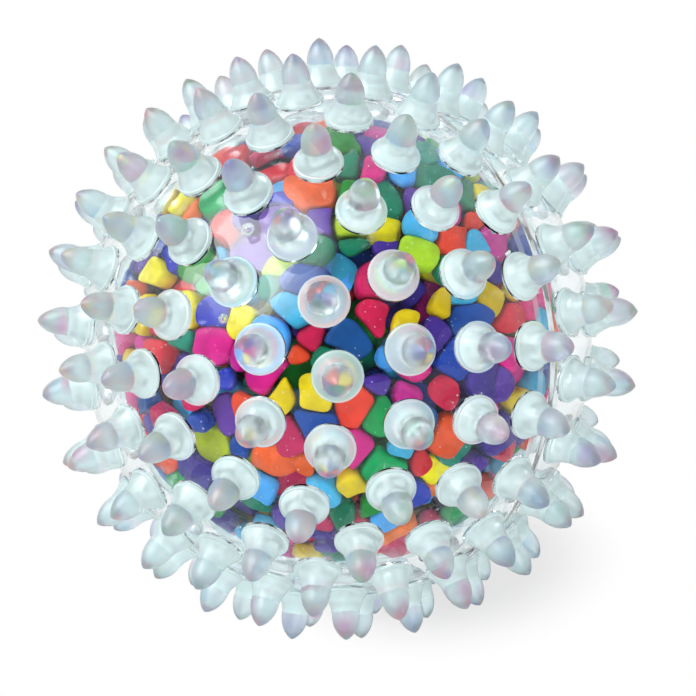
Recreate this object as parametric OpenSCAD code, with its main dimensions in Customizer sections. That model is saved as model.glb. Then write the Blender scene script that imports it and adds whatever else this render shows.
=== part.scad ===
// Clear spiky sensory ball: two moulded half shells welded at a seam,
// filled with loose coloured chips. Millimetres, origin at the ball's centre, +Z up.
// The ball stands on three spike tips.

/* [Body] */
// Diameter of the round body, without its spikes
body_d = 84.6; // [70:0.1:110]
// Thickness of the clear wall
wall = 4; // [2:0.1:8]

/* [Spikes] */
// Rings of spikes between the spike on the pole and the seam, on each half
ring_count = 6; // [4:1:8]
// Height of a spike above the body
spike_h = 7.7; // [6:0.1:12]
// Diameter of a spike's foot
spike_foot_d = 7.3; // [5.5:0.1:8.5]
// Height of the foot's upright rim
foot_rim_h = 0.4; // [0.2:0.1:1]
// Rounding on top of the foot's rim
foot_round = 0.3; // [0.1:0.05:0.6]
// Diameter of a spike's nose where the bell ends
nose_d = 4.4; // [3:0.1:5.4]
// Height at which the bell ends and the nose starts
nose_start_h = 3.6; // [2.5:0.1:4.5]
// Diameter of the flat left at the very tip
tip_d = 0.5; // [0.4:0.1:1.2]

/* [Seam] */
// Width of the weld between the two halves
weld_w = 1.2; // [0.6:0.1:2]
// How far the weld stands proud of the body
weld_proud = 0.35; // [0.1:0.05:0.8]

/* [Chips] */
// Chips in the layer against the wall
outer_chips = 720; // [300:10:1200]
// Chips in the middle layer
middle_chips = 400; // [150:10:700]
// Chips in the inner layer
inner_chips = 190; // [60:10:400]
// How much chips differ in size: a chip's share of the way to its neighbour, above and below a half
chip_size_spread = 0.25; // [0:0.05:0.3]
// Least thickness of a chip
chip_t_min = 1.7; // [1:0.1:2]
// Greatest thickness of a chip
chip_t_max = 2.6; // [2:0.1:3.5]
// Gap between neighbouring chips
chip_gap = 0.5; // [0.4:0.05:1]
// Greatest tilt of a chip, in degrees
chip_tilt = 9; // [0:1:12]
// Greatest distance that a chip sits back from its layer's face
chip_set_back = 0.8; // [0:0.1:1.5]
// Room between the chips and the wall
wall_room = 0.6; // [0.5:0.05:1]
// Room between two layers of chips
layer_room = 0.05; // [0.05:0.05:1]

/* [Stance] */
// Lean of the seam's axis from upright
stance_lean = 77.6; // [0:0.1:180]
// Turn of the ball about the seam's axis
stance_spin = 81.15; // [0:0.05:360]
// Heading of the ball on the floor
stance_heading = 46.5; // [-180:0.1:180]

/* [Hidden] */
$fn = 96;
body_r = body_d / 2;
cavity_r = body_r - wall;

// The rings lie evenly from pole to pole, with the seam halfway between two of them
ring_steps = 2 * ring_count + 1;
ring_step = 180 / ring_steps;
// How far each ring is turned about the axis, from the pole outwards
ring_turns = [0, -5, 9, -2.7, 2.4, 1.1, -0.4, 2, -1];
// Turn of the rear half, which sets its spikes between those of the front half
rear_turn = 4.6;
// How deep a spike's foot is sunk into the wall
foot_sink = min(1, wall / 2);
// Steps along the profile of a spike's bell and of its nose
bell_steps = 4;
nose_steps = 6;
// How the bell narrows, and how the nose closes: a larger power fills it out, a smaller taper blunts it
bell_power = 1.6;
nose_power = 2.2;
nose_taper = 0.7;

shell_colour = [0.80, 0.92, 0.92, 0.5];
weld_colour = [0.90, 0.96, 0.97, 0.6];

// The chips' colours: the node's first name and its colour
chip_colours = [
    ["red", [0.86, 0.17, 0.27]],
    ["orange", [0.91, 0.39, 0.18]],
    ["yellow", [0.97, 0.91, 0.25]],
    ["lime", [0.74, 0.82, 0.28]],
    ["green", [0.25, 0.66, 0.33]],
    ["teal", [0.10, 0.56, 0.47]],
    ["sky_blue", [0.35, 0.74, 0.93]],
    ["cobalt", [0.22, 0.40, 0.74]],
    ["violet", [0.33, 0.29, 0.61]],
    ["magenta", [0.84, 0.20, 0.50]]
];
// The order in which colours are dealt out, as often as each one shows
colour_deal = [0, 0, 0, 1, 1, 2, 2, 3, 4, 5, 5, 6, 6, 6, 7, 7, 7, 8, 8, 8, 8, 9, 9, 9];

layer_names = ["outer", "middle", "inner"];
layer_counts = [outer_chips, middle_chips, inner_chips];
// Seeds for the chips' places, and what is added to them for the chips' sizes and for the rest
layer_seeds = [1000, 9000, 17000];
size_seed = 30000;
luck_seed = 60000;
// Share of the spacing by which a chip strays from its even place
stray_share = 0.2;
// A chip is cut from a round blank with this many sides, whose radius is this share of the spacing
blank_sides = 11;
corner_share = 0.68;
golden_turn = 180 * (3 - sqrt(5));
// Steps between a chip and its neighbours on the spiral that the chips follow
neighbour_steps = [1, 2, 3, 5, 8, 13, 21, 34, 55, 89];
// Neighbours further off than this angle don't count
neighbour_angle = 60;
// Edges shorter than this are dropped from a chip's outline
least_edge = 0.45;

// How far a tilted chip's corners rise above its upper face's middle, and dip below its lower face's
function corner_lift(layer) = blank_r(layer) * sin(chip_tilt);
function corner_bulge(layer) = pow(blank_r(layer), 2) / (2 * layer_top(layer));
function corner_rise(layer) = corner_lift(layer) + corner_bulge(layer);
function corner_dip(layer) = corner_lift(layer) - corner_bulge(layer);
// Depth that one layer takes up, with the room below it
function layer_depth(layer) =
    corner_rise(layer) + chip_set_back + chip_t_max + corner_dip(layer) + layer_room;
// Radius of the sphere that a layer's chips stay inside
function layer_top(layer) =
    layer == 0 ? cavity_r - wall_room : layer_top(layer - 1) - layer_depth(layer - 1);
function layer_face(layer) = layer_top(layer) - corner_rise(layer);
// Spacing of a layer's chips, and radius of the blanks that they are cut from
function layer_pitch(layer) = (layer_top(layer) - chip_t_max) * sqrt(4 * PI / layer_counts[layer]);
function blank_r(layer) = corner_share * layer_pitch(layer);

function unit(v) = v / norm(v);
// A chip's direction from the ball's centre: a point of an even spiral, moved a little
function chip_way(layer, i) =
    let (
        total = layer_counts[layer],
        height = 1 - (2 * i + 1) / total,
        turn = golden_turn * i,
        flat = sqrt(1 - height * height),
        stray = rands(-1, 1, 3, layer_seeds[layer] + i) * stray_share * sqrt(4 * PI / total)
    )
    unit([flat * cos(turn), flat * sin(turn), height] + stray);

// How large a chip is among its neighbours, from -1 to 1
function chip_size(layer, i) = rands(-1, 1, 1, layer_seeds[layer] + size_seed + i)[0];

// The part of a convex outline where point * way is at most reach
function clipped(outline, way, reach) = [
    for (k = [0:len(outline) - 1])
        let (
            here = outline[k],
            next = outline[(k + 1) % len(outline)],
            in_here = reach - here * way,
            in_next = reach - next * way
        )
        each concat(
            in_here >= 0 ? [here] : [],
            (in_here > 0) != (in_next > 0) ? [here + (next - here) * in_here / (in_here - in_next)] : []
        )
];
function clipped_by_all(outline, cuts, k = 0) =
    k == len(cuts) ? outline
    : clipped_by_all(clipped(outline, cuts[k][0], cuts[k][1]), cuts, k + 1);
// An outline without its shortest edges
function long_edged(outline) = [
    for (k = [0:len(outline) - 1])
        if (norm(outline[(k + 1) % len(outline)] - outline[k]) > least_edge) outline[k]
];
// A chip's outline: what its neighbours leave of its blank, at this distance from the ball's centre
function chip_outline(layer, i, radius) =
    let (
        total = layer_counts[layer],
        way = chip_way(layer, i),
        polar = acos(way[2]),
        azimuth = atan2(way[1], way[0]),
        east = [cos(polar) * cos(azimuth), cos(polar) * sin(azimuth), -sin(polar)],
        north = [-sin(azimuth), cos(azimuth), 0],
        size = chip_size(layer, i),
        cuts = [
            for (step = neighbour_steps, side = [-1, 1])
                let (j = i + side * step)
                if (j >= 0 && j < total)
                    let (
                        other = chip_way(layer, j),
                        apart = acos(way * other),
                        share = (1 + chip_size_spread * (size - chip_size(layer, j))) / 2
                    )
                    if (apart < neighbour_angle)
                        [unit([other * east, other * north]), radius * tan(apart * share) - chip_gap / 2]
        ],
        blank = [
            for (k = [0:blank_sides - 1])
                let (turn = (k + size) * 360 / blank_sides)
                blank_r(layer) * [cos(turn), sin(turn)]
        ]
    )
    long_edged(clipped_by_all(blank, cuts));

// One spike along +Z, its foot sunk into the wall
module spike() {
    foot_r = spike_foot_d / 2;
    nose_r = nose_d / 2;
    rim_top = foot_rim_h + foot_round;
    neck_r = foot_r - foot_round;
    bell = [
        for (k = [0:bell_steps])
            let (s = k / bell_steps)
            [nose_r + (neck_r - nose_r) * pow(1 - s, bell_power), rim_top + (nose_start_h - rim_top) * s]
    ];
    nose = [
        for (k = [1:nose_steps])
            let (s = k / nose_steps)
            [
                tip_d / 2 + (nose_r - tip_d / 2) * pow(1 - pow(s, nose_power), nose_taper),
                nose_start_h + (spike_h - nose_start_h) * s
            ]
    ];
    foot = [[0, -foot_sink], [foot_r, -foot_sink], [foot_r, foot_rim_h]];
    translate([0, 0, body_r])
        rotate_extrude()
            polygon(concat(foot, bell, nose, [[0, spike_h]]));
}

// One half: a bowl with its rings of spikes, its pole along +Z and its rim at the weld
module half_shell() {
    intersection() {
        difference() {
            sphere(r = body_r);
            sphere(r = cavity_r);
        }
        translate([-body_d, -body_d, weld_w / 2])
            cube([2 * body_d, 2 * body_d, body_d]);
    }
    for (ring = [0:ring_count]) {
        polar = ring * ring_step;
        // As many spikes as keep the spacing of the rings
        spikes = max(1, round(2 * ring_steps * sin(polar)));
        for (k = [0:spikes - 1])
            rotate([0, polar, ring_turns[ring] + 360 / spikes * k])
                spike();
    }
}

// Sets the ball, with the seam's axis along Z, down on its spikes
module stance() {
    rotate([0, 0, stance_heading])
        rotate([0, -stance_lean, 0])
            rotate([0, 0, -stance_spin])
                children();
}

module front_half() {
    color(shell_colour)
        stance() half_shell();
}

module rear_half() {
    color(shell_colour)
        stance() rotate([0, 0, rear_turn]) rotate([180, 0, 0]) half_shell();
}

module seam_weld() {
    color(weld_colour)
        stance()
            translate([0, 0, -weld_w / 2])
                difference() {
                    cylinder(h = weld_w, r = body_r + weld_proud);
                    translate([0, 0, -weld_w])
                        cylinder(h = 3 * weld_w, r = cavity_r);
                }
}

// All the loose chips of one colour in one layer
module chips(layer, colour) {
    color(chip_colours[colour][1])
        stance()
            for (i = [0:layer_counts[layer] - 1]) {
                luck = rands(0, 1, 5, layer_seeds[layer] + luck_seed + i);
                if (colour_deal[floor(luck[0] * len(colour_deal))] == colour) {
                    thick = chip_t_min + (chip_t_max - chip_t_min) * luck[1];
                    middle_r = layer_face(layer) - chip_set_back * luck[2] - thick / 2;
                    way = chip_way(layer, i);
                    rotate([0, acos(way[2]), atan2(way[1], way[0])])
                        translate([0, 0, middle_r])
                            rotate(chip_tilt * luck[3], [cos(360 * luck[4]), sin(360 * luck[4]), 0])
                                translate([0, 0, -thick / 2])
                                    linear_extrude(thick)
                                        polygon(chip_outline(layer, i, middle_r - thick));
                }
            }
}

function chip_node(layer, colour) = str(chip_colours[colour][0], "_chips_", layer_names[layer]);

front_half();
rear_half();
seam_weld();
for (layer = [0:len(layer_names) - 1], colour = [0:len(chip_colours) - 1])
    chips(layer, colour);
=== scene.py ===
import math
import random

import bmesh
import bpy
from mathutils import Matrix, Vector, noise


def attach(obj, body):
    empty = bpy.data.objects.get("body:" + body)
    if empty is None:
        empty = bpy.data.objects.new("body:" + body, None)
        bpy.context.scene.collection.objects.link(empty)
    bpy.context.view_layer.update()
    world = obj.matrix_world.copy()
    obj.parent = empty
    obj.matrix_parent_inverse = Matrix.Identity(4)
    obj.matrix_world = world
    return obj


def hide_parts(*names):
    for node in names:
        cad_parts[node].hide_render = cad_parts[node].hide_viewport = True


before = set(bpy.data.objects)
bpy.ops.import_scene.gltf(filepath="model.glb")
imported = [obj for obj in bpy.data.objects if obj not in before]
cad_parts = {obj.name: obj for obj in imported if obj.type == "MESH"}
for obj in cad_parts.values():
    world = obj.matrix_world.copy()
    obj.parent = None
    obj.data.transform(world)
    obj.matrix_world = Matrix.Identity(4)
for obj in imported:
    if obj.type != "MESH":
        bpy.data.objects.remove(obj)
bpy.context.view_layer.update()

# Sizes in metres and turns in degrees, those of the solids unless a comment says otherwise
MM = 0.001
BODY_R = 42.3 * MM
CAVITY_R = 38.3 * MM
WELD_W = 1.2 * MM
WELD_PROUD = 0.35 * MM
# Points over the weld's two lips, as shares of its half width and of WELD_PROUD
LIPS = (
    (-1, 0), (-0.85, 0.7), (-0.6, 1), (-0.35, 0.7), (0, 0.1),
    (0.35, 0.7), (0.6, 1), (0.85, 0.7), (1, 0),
)
RINGS = 6
RING_STEPS = 2 * RINGS + 1
RING_TURNS = (0, -5, 9, -2.7, 2.4, 1.1, -0.4)
REAR_TURN = 4.6
SPIKE_H = 7.7 * MM
FOOT_R = 3.65 * MM
FOOT_SINK = 1 * MM
FOOT_RIM_H = 0.4 * MM
FOOT_ROUND = 0.3 * MM
NOSE_R = 2.2 * MM
NOSE_START_H = 3.6 * MM
BELL_POWER = 1.6
NOSE_POWER = 2.2
NOSE_TAPER = 0.7
STANCE_LEAN = 77.6
STANCE_SPIN = 81.15
STANCE_HEADING = 46.5
# Height of the floor, about that of the lowest spike tips
FLOOR_Z = -49.43 * MM
# Height over the body from which a spike is milky
BELL_FROM = 0.3 * MM

# How finely the round shapes are cut
ROUND_STEPS = 180
CAVITY_STEPS = 40
BODY_STEPS = 48
SPIKE_ROUND_STEPS = 36
FOOT_ROUND_DEGREES = (22, 45, 67, 90)
BELL_STEPS = 8
NOSE_STEPS = 14
BUBBLE_ROUND_STEPS = 24
BUBBLE_STEPS = 16
# Edges look sharp where faces meet at more than this many degrees
SHELL_SHARP = 40
TRIM_SHARP = 60
CHIP_SHARP = 80
# A point this near to the axis or to the rim of a half is on it
ON_AXIS = 1e-9
ON_RIM = 1e-6

# Air bubbles in the wall, which the solids don't have: direction from the ball's centre and radius
BUBBLE_DEPTH = 2 * MM
BUBBLES = (
    ((-0.266, -0.678, 0.685), 1.0 * MM),
    ((-0.381, -0.823, 0.422), 0.7 * MM),
    ((0.589, -0.588, 0.555), 0.5 * MM),
    ((0.731, -0.51, 0.453), 0.5 * MM),
)

# The chips: their colours as a screen shows them
LAYERS = ("outer", "middle", "inner")
CHIP_COLOURS = {
    "red": (0.90, 0.14, 0.27),
    "orange": (0.96, 0.36, 0.17),
    "yellow": (1.00, 0.91, 0.10),
    "lime": (0.73, 0.84, 0.18),
    "green": (0.08, 0.63, 0.29),
    "teal": (0.04, 0.54, 0.43),
    "sky_blue": (0.29, 0.72, 0.97),
    "cobalt": (0.12, 0.30, 0.68),
    "violet": (0.32, 0.20, 0.61),
    "magenta": (0.87, 0.13, 0.57),
}
SEED = 7
# How far a chip is tilted, scaled up and sunk at random
CHIP_TILT = 10
CHIP_GROW = 1.28
CHIP_SINK = 2.2 * MM
# The rounding of a chip's upper and lower edges and of its outline's corners
CHIP_ROUND = 0.5 * MM
CHIP_CORNER = 1.1 * MM
CHIP_CORNER_SHARE = 0.45
CHIP_CORNER_STEPS = 3
# Shorter sides of an outline are left out
CHIP_LEAST_EDGE = 0.9 * MM
# The sides are bent by a noise of this size and strength
CHIP_BEND_SIZE = 4 * MM
CHIP_BEND = 0.9 * MM
# Points of a solid this near are one, and faces that meet at less than this angle, in radians, are one
MERGE_WITHIN = 0.01 * MM
FLAT_WITHIN = 0.02

# How the chips' rubber varies: ranges of hue and brightness from chip to chip, and of the mottling
CHIP_HUES = (0.478, 0.522)
CHIP_VALUES = (0.72, 1.15)
MOTTLE_SCALE = 420
MOTTLE_VALUES = (0.55, 1.4)
SPECK_SCALE = 2600
SPECK_EDGE = (0.74, 0.78)
SPECK_GREY = 0.9

# Painted refraction in the noses: patches of the chips' colours that stand in for their light carried to
# the tips; where each begins on a scale from 0 to 1, and where the last ends
PAINTED_REFRACTIONS = (
    (0.12, (0.72, 0.30, 0.55)),
    (0.3, (0.40, 0.36, 0.70)),
    (0.45, (0.36, 0.62, 0.85)),
    (0.6, (0.62, 0.68, 0.68)),
    (0.72, (0.36, 0.68, 0.55)),
)
PAINTED_REFRACTIONS_END = 0.8
# Cells of the painted refraction's patches to a metre, and how far a patch reaches as a share of its cell
PAINTED_REFRACTION_SCALE = 210
PAINTED_REFRACTION_REACH = 0.65
# How strongly the clear rubber bends light
RUBBER_IOR = 1.47

# The floor: greys, and where the shadow that the camera sees fades into white
FLOOR_SIZE = 4
PAPER_GREY = 0.9
SHADOWED_GREY = 0.35
SHADOWED_GLOW = 0.65
SHADOW_MIDDLE = (0.015, 0.010, 0)
SHADOW_FADE = (0.016, 0.036)
# The floor in reflections, from in front of the ball to behind it
MIRRORED_FLOOR_Y = (-0.06, 0.05)
MIRRORED_FLOOR_LEVELS = (0.08, 1)

# The room: which way its front and its window lie, and how a level changes as a ray turns there
ROOM_FRONT = (0, -0.94, 0.34)
ROOM_TURN = (-0.1, 0.75)
MIRRORED_LEVELS = (1, 0.06)
THROUGH_LEVELS = (1, 0.7)
WINDOW = (-0.50, -0.34, 0.80)
WINDOW_TURN = (0.8, 0.99)
WINDOW_LEVELS = (0, 5)
AMBIENT = 0.5

# The camera, from a fit of 46 spike tips and the seam to the photo
CAMERA_DISTANCE = 0.2126
CAMERA_BACK = Vector((0, -0.9401, 0.3408))
CAMERA_UP = Vector((0.111, 0.3387, 0.9343))
CAMERA_LENS = 64.73
CAMERA_SENSOR = 36
CAMERA_SHIFT = (0.01437, -0.01135)


# Meshes
def turn(axis, degrees):
    """A rotation about one axis, as a 4 x 4 matrix."""
    return Matrix.Rotation(math.radians(degrees), 4, axis)


STANCE = turn("Z", STANCE_HEADING) @ turn("Y", -STANCE_LEAN) @ turn("Z", -STANCE_SPIN)


def lathe(mesh, profile, steps, place=None, closed=False):
    """Adds to a bmesh the solid that (radius, height) points make round Z."""
    place = place or Matrix.Identity(4)
    rows = []
    for radius, height in profile:
        if radius < ON_AXIS:
            rows.append([mesh.verts.new(place @ Vector((0, 0, height)))])
            continue
        row = []
        for k in range(steps):
            a = 2 * math.pi * k / steps
            row.append(mesh.verts.new(place @ Vector((radius * math.cos(a), radius * math.sin(a), height))))
        rows.append(row)
    pairs = list(zip(rows, rows[1:]))
    if closed:
        pairs.append((rows[-1], rows[0]))
    for low, high in pairs:
        for k in range(steps):
            n = (k + 1) % steps
            if len(low) == 1:
                mesh.faces.new((low[0], high[n], high[k]))
            elif len(high) == 1:
                mesh.faces.new((low[k], low[n], high[0]))
            else:
                mesh.faces.new((low[k], low[n], high[n], high[k]))


def to_object(mesh, name):
    """A new object with what a bmesh holds, in the scene."""
    data = bpy.data.meshes.new(name)
    mesh.to_mesh(data)
    mesh.free()
    obj = bpy.data.objects.new(name, data)
    bpy.context.collection.objects.link(obj)
    return obj


def shade(obj, sharp_degrees):
    """Smooth shading, with sharp edges where faces meet at more than this angle."""
    mesh = bmesh.new()
    mesh.from_mesh(obj.data)
    for face in mesh.faces:
        face.smooth = True
    for edge in mesh.edges:
        edge.smooth = edge.calc_face_angle(0) < math.radians(sharp_degrees)
    mesh.to_mesh(obj.data)
    mesh.free()


def arc(radius, start, end, steps):
    """Points of an arc in the half plane of a lathe, by degrees from the axis."""
    points = []
    for k in range(steps + 1):
        a = math.radians(start + (end - start) * k / steps)
        points.append((radius * math.sin(a), radius * math.cos(a)))
    return points


def spike_profile():
    """Points of a spike from its sunk foot to its tip, heights from the body's face."""
    points = [(0, -FOOT_SINK), (FOOT_R, -FOOT_SINK), (FOOT_R, FOOT_RIM_H * 0.5), (FOOT_R, FOOT_RIM_H)]
    for degrees in FOOT_ROUND_DEGREES:
        a = math.radians(degrees)
        points.append((FOOT_R - FOOT_ROUND * (1 - math.cos(a)), FOOT_RIM_H + FOOT_ROUND * math.sin(a)))
    neck_r = FOOT_R - FOOT_ROUND
    rim_top = FOOT_RIM_H + FOOT_ROUND
    for k in range(1, BELL_STEPS + 1):
        s = k / BELL_STEPS
        radius = NOSE_R + (neck_r - NOSE_R) * (1 - s) ** BELL_POWER
        points.append((radius, rim_top + (NOSE_START_H - rim_top) * s))
    for k in range(1, NOSE_STEPS):
        s = math.sin(math.pi / 2 * k / NOSE_STEPS)
        radius = NOSE_R * (1 - s ** NOSE_POWER) ** NOSE_TAPER
        points.append((radius, NOSE_START_H + (SPIKE_H - NOSE_START_H) * s))
    points.append((0, SPIKE_H))
    return points


def bowl(name):
    """The wall of one half, without its spikes."""
    rim = WELD_W / 2
    inner_end = math.degrees(math.acos(rim / CAVITY_R))
    outer_end = math.degrees(math.acos(rim / BODY_R))
    mesh = bmesh.new()
    profile = arc(CAVITY_R, 0, inner_end, CAVITY_STEPS) + arc(BODY_R, outer_end, 0, BODY_STEPS)
    lathe(mesh, profile, ROUND_STEPS)
    bmesh.ops.recalc_face_normals(mesh, faces=mesh.faces)
    return to_object(mesh, name)


def spikes(name):
    """The spikes of one half, ring by ring from its pole."""
    mesh = bmesh.new()
    profile = [(r, h + BODY_R) for r, h in spike_profile()]
    for ring in range(RINGS + 1):
        polar = 180 / RING_STEPS * ring
        count = max(1, round(2 * RING_STEPS * math.sin(math.radians(polar))))
        for k in range(count):
            place = turn("Z", RING_TURNS[ring] + 360 / count * k) @ turn("Y", polar)
            lathe(mesh, profile, SPIKE_ROUND_STEPS, place)
    bmesh.ops.recalc_face_normals(mesh, faces=mesh.faces)
    return to_object(mesh, name)


def unite(obj, tool):
    """Joins the tool to an object, as one closed mesh, and removes the tool."""
    union = obj.modifiers.new("union", "BOOLEAN")
    union.operation = "UNION"
    union.solver = "MANIFOLD"
    union.object = tool
    graph = bpy.context.evaluated_depsgraph_get()
    joined = bpy.data.meshes.new_from_object(obj.evaluated_get(graph))
    obj.modifiers.clear()
    joined.materials.clear()
    obj.data = joined
    bpy.data.objects.remove(tool)


def half_shell(name, place):
    """One clear half with its spikes, open where it is welded to the seam."""
    obj = bowl(name)
    unite(obj, spikes(name + "_spikes"))
    rim = WELD_W / 2
    mesh = bmesh.new()
    mesh.from_mesh(obj.data)
    at_rim = [f for f in mesh.faces if all(abs(v.co.z - rim) < ON_RIM for v in f.verts)]
    bmesh.ops.delete(mesh, geom=at_rim, context="FACES_ONLY")
    # The materials in order of height: the wall, the bells and the noses
    for face in mesh.faces:
        height = face.calc_center_median().length - BODY_R
        face.material_index = sum(height > start for start in (BELL_FROM, NOSE_START_H))
    mesh.transform(place)
    mesh.to_mesh(obj.data)
    mesh.free()
    shade(obj, SHELL_SHARP)
    return obj


def seam():
    """The weld's two lips and its inner face, open towards the halves."""
    w = WELD_W / 2
    profile = [(BODY_R + WELD_PROUD * rise, w * z) for z, rise in LIPS]
    profile += [(CAVITY_R, w), (CAVITY_R, -w)]
    mesh = bmesh.new()
    lathe(mesh, profile, ROUND_STEPS, closed=True)
    bmesh.ops.recalc_face_normals(mesh, faces=mesh.faces)
    at_rim = []
    for face in mesh.faces:
        radii = [v.co.xy.length for v in face.verts]
        level = all(abs(abs(v.co.z) - w) < ON_RIM for v in face.verts)
        if level and max(radii) - min(radii) > MM:
            at_rim.append(face)
    bmesh.ops.delete(mesh, geom=at_rim, context="FACES_ONLY")
    mesh.transform(STANCE)
    obj = to_object(mesh, "seam_lips")
    shade(obj, TRIM_SHARP)
    return obj


def air_bubbles():
    """The bubbles in the wall. Their faces look inwards, because the rubber is outside them."""
    mesh = bmesh.new()
    for direction, radius in BUBBLES:
        middle = Vector(direction).normalized() * (BODY_R - BUBBLE_DEPTH)
        lathe(mesh, arc(radius, 180, 0, BUBBLE_STEPS), BUBBLE_ROUND_STEPS, Matrix.Translation(middle))
    bmesh.ops.recalc_face_normals(mesh, faces=mesh.faces)
    bmesh.ops.reverse_faces(mesh, faces=mesh.faces)
    obj = to_object(mesh, "bubbles")
    shade(obj, TRIM_SHARP)
    return obj


# Chips: the solids' own outlines, moved a little at random, with bent sides and round edges
def islands(mesh):
    """The separate solids of a bmesh, as lists of vertices."""
    left = set(mesh.verts)
    found = []
    for start in mesh.verts:
        if start not in left:
            continue
        left.discard(start)
        group = [start]
        for vert in group:
            for edge in vert.link_edges:
                other = edge.other_vert(vert)
                if other in left:
                    left.discard(other)
                    group.append(other)
        found.append(group)
    return found


def outlines(group, out):
    """A chip's upper outline and, point by point, its lower one."""
    faces = dict.fromkeys(face for vert in group for face in vert.link_faces)
    upper = max(faces, key=lambda face: face.normal.dot(out) * face.calc_area())
    lower = min(faces, key=lambda face: face.normal.dot(out) * face.calc_area())
    tops, bottoms = [], []
    for vert in upper.verts:
        below = [e.other_vert(vert) for e in vert.link_edges if e.other_vert(vert) in lower.verts]
        if below and (not tops or (vert.co - tops[-1]).length > CHIP_LEAST_EDGE):
            tops.append(vert.co.copy())
            bottoms.append(below[0].co.copy())
    return tops, bottoms


def rounded(points):
    """An outline with round corners and a point in the middle of each side."""
    result = []
    for k, corner in enumerate(points):
        before = points[k - 1] - corner
        after = points[(k + 1) % len(points)] - corner
        start = corner + before * min(CHIP_CORNER / before.length, CHIP_CORNER_SHARE)
        end = corner + after * min(CHIP_CORNER / after.length, CHIP_CORNER_SHARE)
        result.append(corner + before / 2)
        for step in range(CHIP_CORNER_STEPS + 1):
            t = step / CHIP_CORNER_STEPS
            result.append(start * (1 - t) ** 2 + corner * 2 * t * (1 - t) + end * t ** 2)
    return result


def bent(point):
    """A point moved sideways by a noise, which bends the sides of the chips."""
    out = point.normalized()
    push = noise.noise_vector(point / CHIP_BEND_SIZE)
    return point + (push - out * push.dot(out)) * CHIP_BEND


def edge_row(points, others, degrees):
    """A chip's outline part of the way round its edge: 0 on its side, 90 on its face."""
    a = math.radians(degrees)
    middle = sum(points, Vector()) / len(points)
    result = []
    for point, other in zip(points, others):
        inwards = (middle - point).normalized() * CHIP_ROUND * (1 - math.cos(a))
        across = (other - point).normalized() * CHIP_ROUND * (1 - math.sin(a))
        result.append(point + inwards + across)
    return result


def add_chip(mesh, tops, bottoms, low_r, high_r):
    """Adds to a bmesh the chip between two outlines, all of it between its layer's two spheres."""
    levels = (
        (bottoms, tops, 90), (bottoms, tops, 0),
        (tops, bottoms, 0), (tops, bottoms, 45), (tops, bottoms, 90),
    )
    rows = []
    for points, others, degrees in levels:
        row = []
        for point in edge_row(points, others, degrees):
            radius = point.length
            row.append(mesh.verts.new(point * min(max(radius, low_r), high_r) / radius))
        rows.append(row)
    mesh.faces.new(list(reversed(rows[0])))
    mesh.faces.new(rows[-1])
    for low, high in zip(rows, rows[1:]):
        for k in range(len(low)):
            n = (k + 1) % len(low)
            mesh.faces.new((low[k], low[n], high[n], high[k]))


def rounded_chips(node, low_r, high_r, luck):
    """A node's chips with round edges, each one moved a little inside its layer."""
    solids = bmesh.new()
    solids.from_mesh(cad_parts[node].data)
    bmesh.ops.remove_doubles(solids, verts=solids.verts, dist=MERGE_WITHIN)
    bmesh.ops.dissolve_limit(solids, angle_limit=FLAT_WITHIN, verts=solids.verts, edges=solids.edges)
    solids.normal_update()
    mesh = bmesh.new()
    for group in islands(solids):
        middle = sum((v.co for v in group), Vector()) / len(group)
        out = middle.normalized()
        across = out.orthogonal().normalized()
        across.rotate(Matrix.Rotation(luck.uniform(0, 2 * math.pi), 3, out))
        tilt = Matrix.Rotation(math.radians(luck.uniform(-CHIP_TILT, CHIP_TILT)), 3, across)
        grow = luck.uniform(1, CHIP_GROW)
        seat = middle + out * min(0, luck.gauss(0, 1)) * CHIP_SINK
        sides = []
        for outline in outlines(group, out):
            moved = [seat + tilt @ ((point - middle) * grow) for point in outline]
            sides.append([bent(point) for point in rounded(moved)])
        tops, bottoms = sides
        add_chip(mesh, tops, bottoms, low_r, high_r)
    solids.free()
    obj = to_object(mesh, node + "_round")
    shade(obj, CHIP_SHARP)
    return obj


# Nodes of the materials and the world
# A mix node's two inputs and its output by number, for values and for colours
MIX_SOCKETS = {"FLOAT": (2, 3, 0), "RGBA": (6, 7, 2)}


def add_node(tree, kind, **values):
    """A new node with some of its settings and inputs."""
    node = tree.nodes.new("ShaderNode" + kind)
    for name, value in values.items():
        if hasattr(node, name):
            setattr(node, name, value)
        else:
            node.inputs[name.replace("_", " ")].default_value = value
    return node


def plug(tree, source, socket):
    """Gives a socket the output of another node, or a value."""
    if isinstance(source, bpy.types.NodeSocket):
        tree.links.new(source, socket)
    else:
        socket.default_value = source


def remap(tree, source, start=(0, 1), end=(0, 1), curve="LINEAR"):
    """A value of the start range as a value of the end range."""
    node = add_node(tree, "MapRange", interpolation_type=curve,
                    From_Min=start[0], From_Max=start[1], To_Min=end[0], To_Max=end[1])
    plug(tree, source, node.inputs["Value"])
    return node.outputs[0]


def combine(tree, operation, first, second):
    """The sum or the greater of two values, as the operation says."""
    node = add_node(tree, "Math", operation=operation)
    plug(tree, first, node.inputs[0])
    plug(tree, second, node.inputs[1])
    return node.outputs[0]


def mix(tree, factor, first, second, kind="RGBA", blend="MIX"):
    """A mix of two colours or values: the first at a factor of 0, the second at 1."""
    a, b, result = MIX_SOCKETS[kind]
    node = add_node(tree, "Mix", data_type=kind, blend_type=blend)
    plug(tree, factor, node.inputs[0])
    plug(tree, first, node.inputs[a])
    plug(tree, second, node.inputs[b])
    return node.outputs[result]


def mix_shaders(tree, factor, first, second):
    """A mix of two shaders: the first at a factor of 0, the second at 1."""
    node = add_node(tree, "MixShader")
    for source, socket in zip((factor, first, second), node.inputs):
        plug(tree, source, socket)
    return node.outputs[0]


def grey(level):
    """An opaque grey."""
    return (level, level, level, 1)


def linear(value):
    """A colour value of the screen as the linear value that a shader takes, by the sRGB curve."""
    return value / 12.92 if value <= 0.04045 else ((value + 0.055) / 1.055) ** 2.4


# Materials
def material(name):
    """A new material, its nodes and its shader."""
    made = bpy.data.materials.new(name)
    made.use_nodes = True
    return made, made.node_tree, made.node_tree.nodes["Principled BSDF"]


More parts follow.
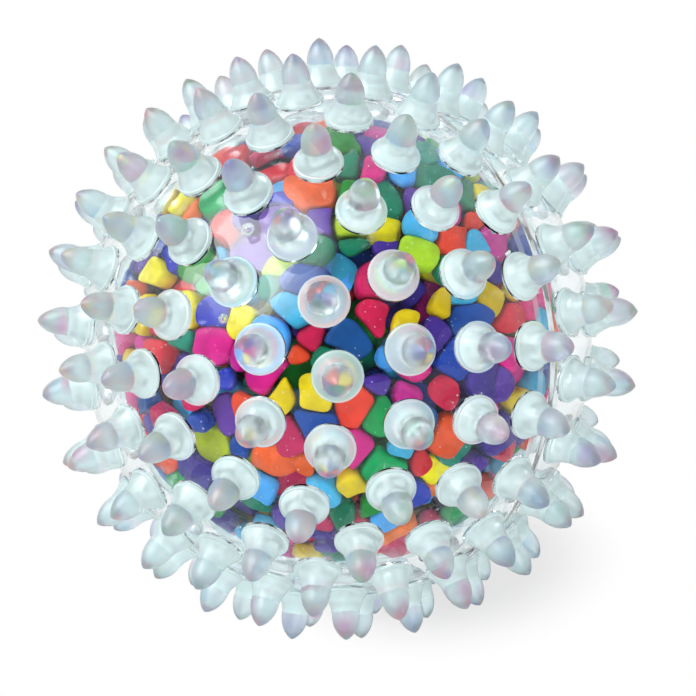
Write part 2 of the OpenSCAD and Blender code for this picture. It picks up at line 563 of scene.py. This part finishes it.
def clear_material(name, colour, roughness, clarity, gloss, shadow):
    """Clear soft plastic. Shadow and diffuse rays pass, so that the chips inside are lit."""
    made, tree, shader = material(name)
    shader.inputs["Base Color"].default_value = (*colour, 1)
    shader.inputs["Roughness"].default_value = roughness
    shader.inputs["IOR"].default_value = RUBBER_IOR
    shader.inputs["Transmission Weight"].default_value = clarity
    shader.inputs["Specular IOR Level"].default_value = gloss
    path = add_node(tree, "LightPath").outputs
    passes = combine(tree, "MAXIMUM", path["Is Shadow Ray"], path["Is Diffuse Ray"])
    plug(tree, remap(tree, passes, end=(1, shadow)), shader.inputs["Alpha"])
    return made


def add_painted_refraction(made):
    """Painted refraction: patches of the chips' colours painted into a clear material, standing in for the
    light that the spikes lead to their tips.
    """
    tree = made.node_tree
    colour = tree.nodes["Principled BSDF"].inputs["Base Color"]
    plain = colour.default_value[:]
    cells = add_node(tree, "TexVoronoi", Scale=PAINTED_REFRACTION_SCALE)
    plug(tree, add_node(tree, "TexCoord").outputs["Object"], cells.inputs["Vector"])
    pick = add_node(tree, "SeparateColor")
    plug(tree, cells.outputs["Color"], pick.inputs[0])
    refraction_ramp = add_node(tree, "ValToRGB")
    ramp = refraction_ramp.color_ramp
    ramp.interpolation = "CONSTANT"
    ramp.elements[0].color = plain
    ramp.elements[1].position = PAINTED_REFRACTIONS_END
    ramp.elements[1].color = plain
    for at, refracted_colour in PAINTED_REFRACTIONS:
        ramp.elements.new(at).color = (*refracted_colour, 1)
    plug(tree, pick.outputs[0], refraction_ramp.inputs[0])
    strength = remap(tree, cells.outputs["Distance"], start=(0, PAINTED_REFRACTION_REACH), end=(1, 0))
    plug(tree, mix(tree, strength, plain, refraction_ramp.outputs[0]), colour)


def chip_material(name, colour):
    """Matte rubber: each chip a little different, mottled, with fine pale specks."""
    made, tree, shader = material(name)
    shader.inputs["Roughness"].default_value = 0.55
    shader.inputs["Specular IOR Level"].default_value = 0.15
    chance = add_node(tree, "NewGeometry").outputs["Random Per Island"]
    place = add_node(tree, "TexCoord").outputs["Object"]
    mottle = add_node(tree, "TexNoise", Scale=MOTTLE_SCALE, Detail=4)
    plug(tree, place, mottle.inputs["Vector"])
    shift = add_node(tree, "HueSaturation", Color=(*colour, 1))
    plug(tree, remap(tree, chance, end=CHIP_HUES), shift.inputs["Hue"])
    plug(tree, remap(tree, chance, end=CHIP_VALUES), shift.inputs["Value"])
    level = remap(tree, mottle.outputs[0], end=MOTTLE_VALUES)
    mottled = mix(tree, 1, shift.outputs[0], level, blend="MULTIPLY")
    dust = add_node(tree, "TexNoise", Scale=SPECK_SCALE, Detail=1)
    plug(tree, place, dust.inputs["Vector"])
    speck = remap(tree, dust.outputs[0], start=SPECK_EDGE)
    plug(tree, mix(tree, speck, mottled, grey(SPECK_GREY)), shader.inputs["Base Color"])
    bump = add_node(tree, "Bump", Strength=0.35, Distance=0.3 * MM)
    plug(tree, mottle.outputs[0], bump.inputs["Height"])
    plug(tree, bump.outputs[0], shader.inputs["Normal"])
    return made


def floor_material():
    """White paper, on which the camera sees the ball's shadow."""
    made, tree, shader = material("white_floor")
    tree.nodes.remove(shader)
    path = add_node(tree, "LightPath").outputs
    place = add_node(tree, "TexCoord").outputs["Object"]
    # For the camera, the shadow near the ball fades into white
    white = add_node(tree, "AddShader")
    plug(tree, add_node(tree, "BsdfDiffuse", Color=grey(SHADOWED_GREY)).outputs[0], white.inputs[0])
    plug(tree, add_node(tree, "Emission", Strength=SHADOWED_GLOW).outputs[0], white.inputs[1])
    away = add_node(tree, "VectorMath", operation="DISTANCE")
    plug(tree, place, away.inputs[0])
    plug(tree, SHADOW_MIDDLE, away.inputs[1])
    fade = remap(tree, away.outputs["Value"], start=SHADOW_FADE, curve="SMOOTHSTEP")
    backdrop = mix_shaders(tree, fade, white.outputs[0], add_node(tree, "Emission").outputs[0])
    # Refracted rays see it white, reflected ones see it white behind the ball and dim in front of it
    split = add_node(tree, "SeparateXYZ")
    plug(tree, place, split.inputs[0])
    level = remap(tree, split.outputs["Y"], start=MIRRORED_FLOOR_Y, end=MIRRORED_FLOOR_LEVELS)
    mirrored = add_node(tree, "Emission")
    plug(tree, combine(tree, "MAXIMUM", level, path["Is Transmission Ray"]), mirrored.inputs["Strength"])
    met_ball = combine(tree, "MAXIMUM", path["Is Glossy Ray"], path["Is Transmission Ray"])
    # All other rays see plain paper
    paper = add_node(tree, "BsdfDiffuse", Color=grey(PAPER_GREY)).outputs[0]
    unseen = mix_shaders(tree, met_ball, paper, mirrored.outputs[0])
    seen = mix_shaders(tree, path["Is Camera Ray"], unseen, backdrop)
    plug(tree, seen, tree.nodes["Material Output"].inputs["Surface"])
    return made


# World, lamps and camera
def towards(tree, direction, turns, levels):
    """A level that changes as a ray turns towards a direction."""
    along = add_node(tree, "VectorMath", operation="DOT_PRODUCT")
    plug(tree, add_node(tree, "TexCoord").outputs["Generated"], along.inputs[0])
    plug(tree, direction, along.inputs[1])
    return remap(tree, along.outputs["Value"], start=turns, end=levels, curve="SMOOTHSTEP")


def white_room():
    """A world that is white for the camera, and a studio for rays that meet the ball."""
    world = bpy.data.worlds.new("white_room")
    world.use_nodes = True
    tree = world.node_tree
    background = tree.nodes["Background"]
    background.inputs["Color"].default_value = grey(1)
    path = add_node(tree, "LightPath").outputs
    # Reflections see a white room behind the ball, a dark one in front and a soft window at the upper left
    room = towards(tree, ROOM_FRONT, ROOM_TURN, MIRRORED_LEVELS)
    mirrored = combine(tree, "ADD", room, towards(tree, WINDOW, WINDOW_TURN, WINDOW_LEVELS))
    # Through the clear rubber the front is dimmer than the white behind the ball
    through = towards(tree, ROOM_FRONT, ROOM_TURN, THROUGH_LEVELS)
    strength = mix(tree, path["Is Transmission Ray"], AMBIENT, through, "FLOAT")
    strength = mix(tree, path["Is Glossy Ray"], strength, mirrored, "FLOAT")
    strength = mix(tree, path["Is Camera Ray"], strength, 1, "FLOAT")
    plug(tree, strength, background.inputs["Strength"])
    return world


def softbox(name, place, width, height, power):
    """A lamp that faces the ball."""
    data = bpy.data.lights.new(name, "AREA")
    data.shape = "RECTANGLE"
    data.size = width
    data.size_y = height
    data.energy = power
    obj = bpy.data.objects.new(name, data)
    obj.location = place
    obj.rotation_euler = Vector(place).to_track_quat("Z", "Y").to_euler()
    bpy.context.collection.objects.link(obj)
    return obj


def photo_camera():
    """A camera that looks at the ball as the photo's did."""
    lens = bpy.data.cameras.new("camera")
    lens.lens = CAMERA_LENS
    lens.sensor_width = CAMERA_SENSOR
    lens.shift_x, lens.shift_y = CAMERA_SHIFT
    camera = bpy.data.objects.new("camera", lens)
    back = CAMERA_BACK.normalized()
    right = CAMERA_UP.cross(back).normalized()
    up = back.cross(right)
    facing = Matrix((right, up, back)).transposed().to_4x4()
    camera.matrix_world = Matrix.Translation(back * CAMERA_DISTANCE) @ facing
    bpy.context.collection.objects.link(camera)
    return camera


# The shell
clear = clear_material(
    "clear_shell", (0.915, 0.975, 0.985), roughness=0.02, clarity=1, gloss=0.2, shadow=0.03)
milky = clear_material(
    "milky_bells", (0.78, 0.96, 0.965), roughness=0.22, clarity=0.42, gloss=0.4, shadow=0.3)
noses = clear_material(
    "hazy_noses", (0.77, 0.91, 0.93), roughness=0.32, clarity=0.78, gloss=0.4, shadow=0.3)
# The noses get painted refraction: colour patches in place of the chips' light carried to the tips
add_painted_refraction(noses)
clear_weld = clear_material(
    "clear_weld", (0.94, 0.99, 0.99), roughness=0.08, clarity=0.75, gloss=0.3, shadow=0.1)
halves = {
    "front_half": half_shell("front_shell", STANCE),
    "rear_half": half_shell("rear_shell", STANCE @ turn("Z", REAR_TURN) @ turn("X", 180)),
}
for node, obj in halves.items():
    for look in (clear, milky, noses):
        obj.data.materials.append(look)
    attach(obj, "shell")
    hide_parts(node)
lips = seam()
lips.data.materials.append(clear_weld)
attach(lips, "shell")
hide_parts("seam_weld")
bubbles = air_bubbles()
bubbles.data.materials.append(clear)
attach(bubbles, "shell")

# The filling, with fixed seeds so that every run makes the same chips
looks = {}
for colour, rgb in CHIP_COLOURS.items():
    looks[colour] = chip_material(colour + "_rubber", [linear(c) for c in rgb])
luck = random.Random(SEED)
noise.seed_set(SEED)
for layer in LAYERS:
    names = {colour: f"{colour}_chips_{layer}" for colour in CHIP_COLOURS}
    reach = [v.co.length for name in names.values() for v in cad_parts[name].data.vertices]
    for colour, node in names.items():
        obj = rounded_chips(node, min(reach), max(reach), luck)
        obj.data.materials.append(looks[colour])
        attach(obj, layer + "_filling")
        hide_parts(node)

# The stage
bpy.ops.mesh.primitive_plane_add(size=FLOOR_SIZE, location=(0, 0, FLOOR_Z))
floor = bpy.context.object
floor.name = "floor"
floor.data.materials.append(floor_material())
scene = bpy.context.scene
scene.view_settings.view_transform = "Standard"
scene.world = white_room()
softbox("key", (-0.25, -0.16, 0.40), width=0.4, height=0.4, power=1.6)
fill = softbox("fill", (0.08, -0.45, 0), width=0.3, height=0.08, power=0.7)
fill.visible_glossy = False
fill.visible_transmission = False
scene.camera = photo_camera()
